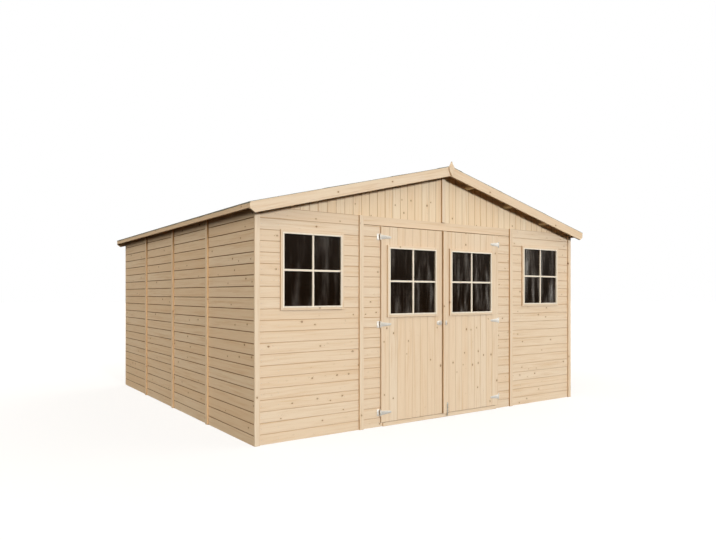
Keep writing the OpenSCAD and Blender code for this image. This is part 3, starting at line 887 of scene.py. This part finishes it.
def heads_tree() -> NodeTree:
    """Build the node tree that sets a head on every point, facing the way the point says.

    Returns:
        The tree, with the head's sizes as inputs.
    """
    tree, given = open_tree("fixing_heads", {
        "Radius": "Float", "Height": "Float", "Sides": "Int", "Slot": "Float", "Seed": "Int"})
    crown = add(tree, MATH, "MULTIPLY", {0: given["Radius"], 1: 0.72})
    cone = add(tree, "GeometryNodeMeshCone",
               inputs={"Vertices": given["Sides"], "Radius Top": crown, "Radius Bottom": given["Radius"],
                       "Depth": given["Height"]})
    wide = add(tree, MATH, "MULTIPLY", {0: given["Radius"], 1: 1.1})
    bite = add(tree, "ShaderNodeCombineXYZ", inputs={0: wide, 1: given["Slot"], 2: given["Height"]})
    blade = add(tree, "GeometryNodeMeshCube", inputs={"Size": bite})
    lifted = add(tree, MATH, "MULTIPLY", {0: given["Height"], 1: 1.15})
    lift = add(tree, "ShaderNodeCombineXYZ", inputs={2: lifted})
    first = add(tree, "GeometryNodeTransform", inputs={"Geometry": blade, "Translation": lift})
    second = add(tree, "GeometryNodeTransform", inputs={"Geometry": first, "Rotation": (0.0, 0.0, math.pi / 2)})
    cross = add(tree, "GeometryNodeMeshBoolean", {"operation": "DIFFERENCE", "solver": "EXACT"},
                {"Mesh 1": cone, "Mesh 2": [first, second]})
    driven = add(tree, "FunctionNodeCompare", "GREATER_THAN", {0: given["Slot"], 1: 0.0})
    head = add(tree, "GeometryNodeSwitch", {"input_type": "GEOMETRY"}, {0: driven, 1: cone, 2: cross.outputs["Mesh"]})
    facing = add(tree, "GeometryNodeInputNamedAttribute", {"data_type": "FLOAT_VECTOR"}, {"Name": "facing"})
    aim = add(tree, "FunctionNodeAlignRotationToVector", {"axis": "Z"}, {"Vector": facing})
    spin = add(tree, "FunctionNodeRandomValue", {"data_type": "FLOAT"}, {2: 0.0, 3: math.tau, "Seed": given["Seed"]})
    twist = add(tree, "ShaderNodeCombineXYZ", inputs={2: spin.outputs[1]})
    turned = add(tree, "FunctionNodeEulerToRotation", inputs={0: twist})
    turn = add(tree, "FunctionNodeRotateRotation", {"rotation_space": "LOCAL"}, {0: aim, 1: turned})
    many = add(tree, "GeometryNodeInstanceOnPoints",
               inputs={"Points": given["Geometry"], "Instance": head, "Rotation": turn})
    close_tree(tree, many, given["Finish"])
    return tree


@dataclass
class Fixings:
    """Nail or screw heads of one body.

    Attributes:
        name: Name of the piece.
        body: The body that they move with.
        head: The kind of head.
        seed: Seed of the heads' turn.
    """

    name: str
    body: str
    head: Head
    seed: int = 3

    def build(self, spots: Sequence[Spot], tree: NodeTree, finish: Material) -> None:
        """Set a head on every spot and dress them.

        Args:
            spots: Points on the surface, each with the way it faces.
            tree: The heads tree.
            finish: The heads' finish.
        """
        mesh = bpy.data.meshes.new(self.name)
        mesh.from_pydata([place for place, _ in spots], [], [])
        facing = mesh.attributes.new("facing", "FLOAT_VECTOR", "POINT")
        facing.data.foreach_set("vector", [value for _, way in spots for value in way])
        radius, height, sides, slot = self.head.value
        piece = evaluated(self.name, mesh, "NODES", {"node_group": tree}, {
            "Radius": radius, "Height": height, "Sides": sides, "Slot": slot, "Seed": self.seed, "Finish": finish})
        settle(piece, self.body)


@dataclass
class FittingScrews:
    """Places of the screws that hold the hinges, the lock, the keeper and the bolt.

    Attributes:
        pin_x: Distance of the hinge pins from the middle.
        plate_out: Distance of a hinge plate's screws from its pin.
        plate_y, strap_y, fitting_y, keeper_y: Fronts of hinge plates, straps, lock and bolt plates, and keeper.
        lock_x, keeper_x, bolt_x: Middles of lock, keeper and bolt.
        lock_z: Height of the lock and its keeper.
    """

    pin_x: float = 0.772
    plate_out: float = 0.0175
    plate_y: float = -1.985
    strap_y: float = -2.006
    fitting_y: float = -2.007
    keeper_y: float = -2.025
    lock_x: float = -0.0605
    keeper_x: float = 0.010
    bolt_x: float = 0.0355
    lock_z: float = 0.92

    def plates(self) -> list[Spot]:
        """Return two places on each hinge plate on the wall."""
        return [(Vector((side * (self.pin_x + self.plate_out), self.plate_y, z + rise)), -Y) for side in (-1, 1)
                for z in HINGES for rise in (-0.018, 0.018)]

    def straps(self, side: int) -> list[Spot]:
        """Return three places along each strap of the leaf on one side."""
        return [(Vector((side * (self.pin_x - out), self.strap_y, z)), -Y) for z in HINGES
                for out in (0.024, 0.066, 0.107)]

    def lock(self) -> list[Spot]:
        """Return the places at both ends of the lock plate."""
        return [(Vector((self.lock_x + out, self.fitting_y, self.lock_z)), -Y) for out in (-0.0245, 0.0245)]

    def keeper(self) -> list[Spot]:
        """Return the places over and under the keeper's stud."""
        return [(Vector((self.keeper_x, self.keeper_y, self.lock_z + rise)), -Y) for rise in (-0.015, 0.015)]

    def bolt(self) -> list[Spot]:
        """Return the places on the bolt plate beside the rod."""
        return [(Vector((self.bolt_x + out, self.fitting_y, z)), -Y) for out in (-0.009, 0.009) for z in (0.08, 0.11)]


@dataclass
class CladdingNails:
    """Places of the nails that hold the level boards, one to a board on every stud.

    Attributes:
        studs: Distances of the studs of the side and back walls from the middle.
        window_studs: Distances of the front panels' studs from the middle.
        door_studs: Distances of the studs beside the doors from the middle.
        header_nails: Distances of the header board's nails from the middle.
        header_z: Their height.
        hinge_room: Height on either side of a hinge that its plate takes up.
    """

    studs: tuple[float, ...] = (0.034, 0.4955, 0.9575, 1.0255, 1.4765, 1.938)
    window_studs: tuple[float, ...] = (1.010, 1.145, 1.784, 1.933)
    door_studs: tuple[float, ...] = (0.777, 0.942)
    header_nails: tuple[float, ...] = (0.05, 0.35, 0.65, 0.942)
    header_z: float = 1.872
    hinge_room: float = 0.036

    def spots(self) -> list[Spot]:
        """Return all places, wall by wall."""
        rows = [FIRST_JOINT + (i - 0.5) * BOARD for i in range(ROWS)]
        clear = [z for z in rows[:-1] if all(abs(z - hinge) > self.hinge_room for hinge in HINGES)]
        found = []
        for side in (-1, 1):
            for z in rows:
                for stud in self.studs:
                    found += [(Vector((end * SIDE_X, side * stud, z)), end * X) for end in (-1, 1)]
                    found.append((Vector((side * stud, -FRONT_Y, z)), Y))
                found += [(Vector((side * stud, FRONT_Y, z)), -Y) for stud in self.window_studs]
            found += [(Vector((side * stud, FRONT_Y, z)), -Y) for stud in self.door_studs for z in clear]
            found += [(Vector((side * x, FRONT_Y, self.header_z)), -Y) for x in self.header_nails]
        return found


@dataclass
class Studio:
    """The pale floor, the soft light and the camera.

    Attributes:
        camera_place: Where the camera stands.
        camera_turn: How far it looks to the right of straight ahead.
        lens: Focal length on a 36 mm sensor.
        shift: Lens shift of the framing.
    """

    camera_place: tuple[float, float, float] = (-4.0243, -6.3595, 1.1991)
    camera_turn: float = 35.284
    lens: float = 30.326
    shift: tuple[float, float] = (-0.01002, 0.03353)

    def camera(self) -> None:
        """Stand the camera where the photograph was taken."""
        data = bpy.data.cameras.new("camera")
        data.sensor_width = 36.0
        data.lens = self.lens
        data.shift_x, data.shift_y = self.shift
        data.clip_end = 200.0
        camera = placed("camera", data)
        camera.location = self.camera_place
        camera.rotation_euler = (math.pi / 2, 0.0, math.radians(-self.camera_turn))
        bpy.context.scene.camera = camera

    def floor(self) -> None:
        """Lay a large white floor just under the shed, lit from below so that it fades into the background."""
        mesh = bpy.data.meshes.new("studio_floor")
        size = 80.0
        mesh.from_pydata([(-size, -size, 0), (size, -size, 0), (size, size, 0), (-size, size, 0)], [], [(0, 1, 2, 3)])
        finish = bpy.data.materials.new("white_studio_floor")
        tree = blank(finish)
        place = add(tree, "ShaderNodeTexCoord").outputs["Object"]
        away = add(tree, VECTOR, "LENGTH", {0: place})
        glow = add(tree, RANGE, SMOOTH, {"Value": away.outputs["Value"], "From Min": 3.0, "From Max": 11.0,
                                         "To Min": 0.70, "To Max": 0.85})
        coat(tree, {
            "Base Color": linear("9C9C9C"), "Roughness": 0.95, "Specular IOR Level": 0.1,
            "Emission Color": (1.0, 1.0, 1.0, 1.0), "Emission Strength": glow})
        mesh.materials.append(finish)
        floor = placed("studio_floor", mesh)
        floor.location.z = -0.0005
        floor.visible_diffuse = floor.visible_glossy = False

    def light(self) -> None:
        """Fill the room with white light and set one wide lamp in front."""
        scene = bpy.context.scene
        scene.view_settings.view_transform = "Standard"
        world = bpy.data.worlds.new("white_studio")
        tree = blank(world)
        way = add(tree, "ShaderNodeTexCoord").outputs["Generated"]
        part = add(tree, "ShaderNodeSeparateXYZ", inputs={0: way})
        rise = add(tree, RANGE, SMOOTH, {"Value": part.outputs["Z"], "From Min": -0.05, "From Max": 0.5})
        square = add(tree, MATH, "POWER", {0: part.outputs["X"], 1: 2.0})
        sides = add(tree, RANGE, inputs={"Value": square, "To Min": 0.1, "To Max": 1.0})
        level = add(tree, MATH, "MULTIPLY", {0: rise, 1: sides})
        dome = add(tree, MIX, RGBA, {0: level, 6: (0.015, 0.0135, 0.012, 1.0), 7: (3.37, 3.15, 2.80, 1.0)})
        seen = add(tree, "ShaderNodeLightPath").outputs["Is Camera Ray"]
        fill = add(tree, MIX, RGBA, {0: seen, 6: dome.outputs[2], 7: (1.0, 1.0, 1.0, 1.0)})
        sky = add(tree, "ShaderNodeBackground", inputs={"Color": fill.outputs[2], "Strength": 1.0})
        add(tree, "ShaderNodeOutputWorld", inputs={"Surface": sky})
        scene.world = world
        lamp = bpy.data.lights.new("front_light", "SUN")
        lamp.energy, lamp.angle, lamp.color = 2.51, math.radians(9), (0.895, 0.94, 1.0)
        light = placed("front_light", lamp)
        light.rotation_euler = Vector((0.04, 1.0, -0.16)).to_track_quat("-Z", "Y").to_euler()


def main() -> None:
    """Build the scene's pieces in order and log each one."""
    logging.basicConfig(level=logging.INFO, format="%(name)s %(message)s")
    studio = Studio()
    studio.camera()
    studio.floor()
    studio.light()
    cladding = Pine("planed_pine_cladding", joint_strength=0.3).material()
    # The same pine with strong dark joints for the walls in shade: partly real joints, partly painted shade in the
    # grooves.
    cladding_joints_painted_shade = Pine("planed_pine_side_cladding", joint="7C5630", joint_strength=0.9, knots=0.11).material()
    # A paler copy of the same pine: painted light that offsets the shade under the roof overhang on the gables.
    gable_boards_painted_light = Pine("planed_pine_gable_boards", pale="EAD4B4", late="D8B488", warm="E3C094",
                        joint_strength=0.3).material()
    door_boards = Pine("planed_pine_door_boards", joint_strength=0.15).material()
    trim = Pine("planed_pine_trim").material()
    # Narrow sides of strips and trims: darker, browner sawn pine, partly the real sawn wood and partly painted shade
    # for the dark lines beside them.
    edge = Pine("sawn_pine_edge", pale="CFAB80", late="B68F62", warm="C29C70", roughness=0.75).material()
    primed = Pine("primed_pine_bars", pale="EDE0CC", late="E2D0B6", warm="E8D8C0", knot="DCC6A6").material()
    # Darker than the other sawn pine: partly sawn boards, partly painted shade to keep the roof's underside and the
    # band under the bargeboards dark.
    deck = Pine("sawn_pine_roof_deck", pale="B8966A", late="9C7848", warm="A9835A", roughness=0.75,
                relief=0.3).material()
    sawn = Pine("sawn_pine_frame", pale="E0C79E", late="CBA774", warm="D6B586", roughness=0.75, relief=0.3).material()
    felt = MineralFelt().material()
    zinc = ZincSteel("zinc_plated_steel").material()
    dull_zinc = ZincSteel("galvanised_steel", bright="C9C4B8", cloud="A39C8E", roughness=0.55).material()
    glass = FloatGlass().material()

    boards = boarding_tree()
    for node in ("left_wall_panels", "right_wall_panels"):
        Boarding(node, "shed", Run.LEVEL_SIDE).build(boards, cladding_joints_painted_shade)
    Boarding("back_wall_panels", "shed", Run.LEVEL_FRONT).build(boards, cladding_joints_painted_shade)
    for node in ("front_left_panel", "front_right_panel"):
        Boarding(node, "shed", Run.LEVEL_FRONT).build(boards, cladding)
    Boarding("door_side_panels", "shed", Run.LEVEL_FRONT, joints=19).build(boards, cladding)
    # The header's one joint lies at its foot; its dark line there is painted shadow above the doors.
    header = Boarding("door_header", "shed", Run.LEVEL_FRONT, first=HEADER_FOOT, joints=1, groove=0.006)
    header.build(boards, cladding_joints_painted_shade)
    for node in ("front_gable", "back_gable"):
        Boarding(node, "shed", Run.UPRIGHT, first=-22 * GABLE_BOARD, pitch=GABLE_BOARD, joints=45).build(
            boards, gable_boards_painted_light)
    Boarding("floor_boards", "shed", Run.FLOOR, first=-16 * FLOOR_BOARD, pitch=FLOOR_BOARD, joints=33).build(
        boards, cladding)
    for node, run in (("left_roof_deck", Run.LEFT_SLOPE), ("right_roof_deck", Run.RIGHT_SLOPE)):
        Boarding(node, "shed", run, first=-22 * DECK_BOARD, pitch=DECK_BOARD, joints=45).build(boards, deck)
    for node, body, joints in (("left_door_leaf", "left_door", 7), ("right_door_leaf", "right_door", 8)):
        low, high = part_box(node)
        pitch = (high.x - low.x) / (joints + 1)
        Boarding(node, body, Run.UPRIGHT, first=low.x + pitch, pitch=pitch, joints=joints,
                 groove=0.0019).build(boards, door_boards)

    for node in ("door_threshold", "corner_boards", "bargeboards", "eave_boards", "finials"):
        Timbers(node, "shed").build(trim)
    # Their narrow sides take the darker edge finish, which partly paints shade.
    for node in ("wall_cover_strips", "gable_cover_strips", "window_trims"):
        Timbers(node, "shed").build(trim, edge)
    for node in ("floor_bearers", "wall_studs", "wall_rails", "lintels_and_sills", "roof_purlins"):
        Timbers(node, "shed", "frame_timber").build(sawn)
    for side in ("left_door", "right_door"):
        Timbers(f"{side}_trim", side).build(trim, edge)
        Timbers(f"{side}_ledges", side, "frame_timber").build(sawn)
    Timbers("right_door_strip", "right_door").build(trim, edge)

    for node in ("window_panes", "left_door_pane", "right_door_pane"):
        dress(node, glass)
    Window("left_wall_window", "shed", -1.4645, 1.395, FRONT_Y).build(primed)
    Window("right_wall_window", "shed", 1.4645, 1.395, FRONT_Y).build(primed)
    Window("left_door_window", "left_door", -0.3955, 1.316, LEAF_Y).build(primed)
    Window("right_door_window", "right_door", 0.371, 1.316, LEAF_Y).build(primed)

    sheets = FeltSheet("left_roof_felt", -1), FeltSheet("right_roof_felt", 1)
    for sheet in sheets:
        sheet.build(felt)
    dress("ridge_felt", felt)

    for node, body in (("hinge_plates", "shed"), ("left_door_hinges", "left_door"), ("left_door_lock", "left_door"),
                       ("right_door_hinges", "right_door"), ("right_door_keeper", "right_door")):
        Ironwork(node, body).build(zinc)
    Ironwork("right_door_bolt", "right_door").build(dull_zinc)

    heads = heads_tree()
    screws = FittingScrews()
    clouts = [spot for sheet in sheets for spot in sheet.nails()]
    for name, body, head, spots, finish in (
            ("hinge_plate_screws", "shed", Head.SCREW, screws.plates(), zinc),
            ("left_door_screws", "left_door", Head.SCREW, screws.straps(-1) + screws.lock(), zinc),
            ("right_door_screws", "right_door", Head.SCREW, screws.straps(1) + screws.keeper(), zinc),
            ("bolt_screws", "right_door", Head.SMALL_SCREW, screws.bolt(), dull_zinc),
            ("cladding_nails", "shed", Head.CLADDING_NAIL, CladdingNails().spots(), dull_zinc),
            ("felt_nails", "shed", Head.CLOUT_NAIL, clouts, dull_zinc)):
        Fixings(name, body, head).build(spots, heads, finish)


if __name__ == "__main__":
    main()
